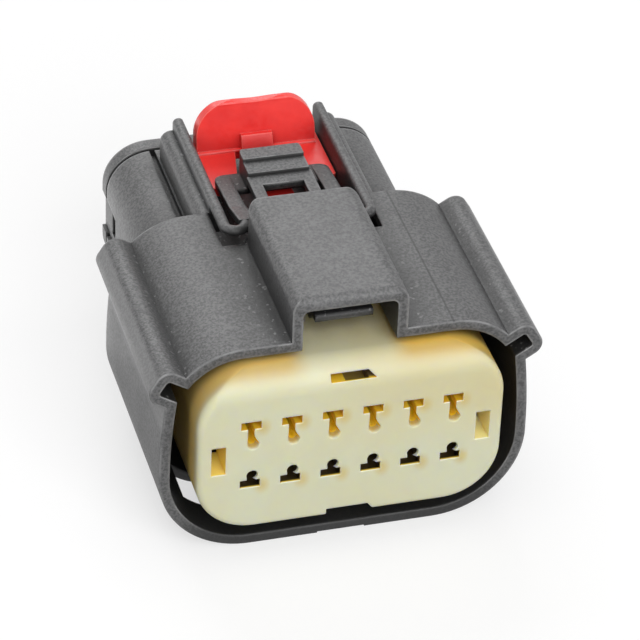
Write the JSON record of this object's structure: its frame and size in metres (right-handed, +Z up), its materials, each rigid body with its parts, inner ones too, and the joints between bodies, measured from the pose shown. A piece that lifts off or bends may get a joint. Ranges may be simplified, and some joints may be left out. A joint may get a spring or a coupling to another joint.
{
  "type": "wire-to-wire connector",
  "caption": "Sealed two-row socket connector for wire ends: hooded shroud with keying wings, sliding terminal lock, latch with position lock, seals and clipped rear cap.",
  "frame": {"origin": "on the plane that the shroud rests on, under the middle of the part's width and length", "axes": "+X across the width to the right of someone looking into the mating face, -Y out of the mating face, +Y towards the wires, +Z up through the latch"},
  "size_m": [0.034, 0.0388, 0.0246],
  "materials": {
    "housing": "charcoal glass-filled polyester with a fine moulded texture",
    "terminal_lock": "natural cream polyester, satin",
    "position_lock": "red polyester, semi-gloss",
    "seal": "grey silicone rubber, satin",
    "rear_cap": "charcoal glass-filled polyester"
  },
  "bodies": {
    "shell": {"housing": "housing", "ring_seal": "seal", "mat_seal": "seal", "rear_cap": "rear_cap"},
    "front_lock": {"terminal_lock": "terminal_lock"},
    "slider": {"position_lock": "position_lock"}
  },
  "joints": [
    {"name": "terminal_lock_slide", "type": "slide", "parent": "shell", "child": "front_lock", "axis": [0, 1, 0], "range_m": [0, 0.0016]},
    {"name": "position_lock_slide", "type": "slide", "parent": "shell", "child": "slider", "axis": [0, -1, 0], "range_m": [0, 0.002]}
  ]
}
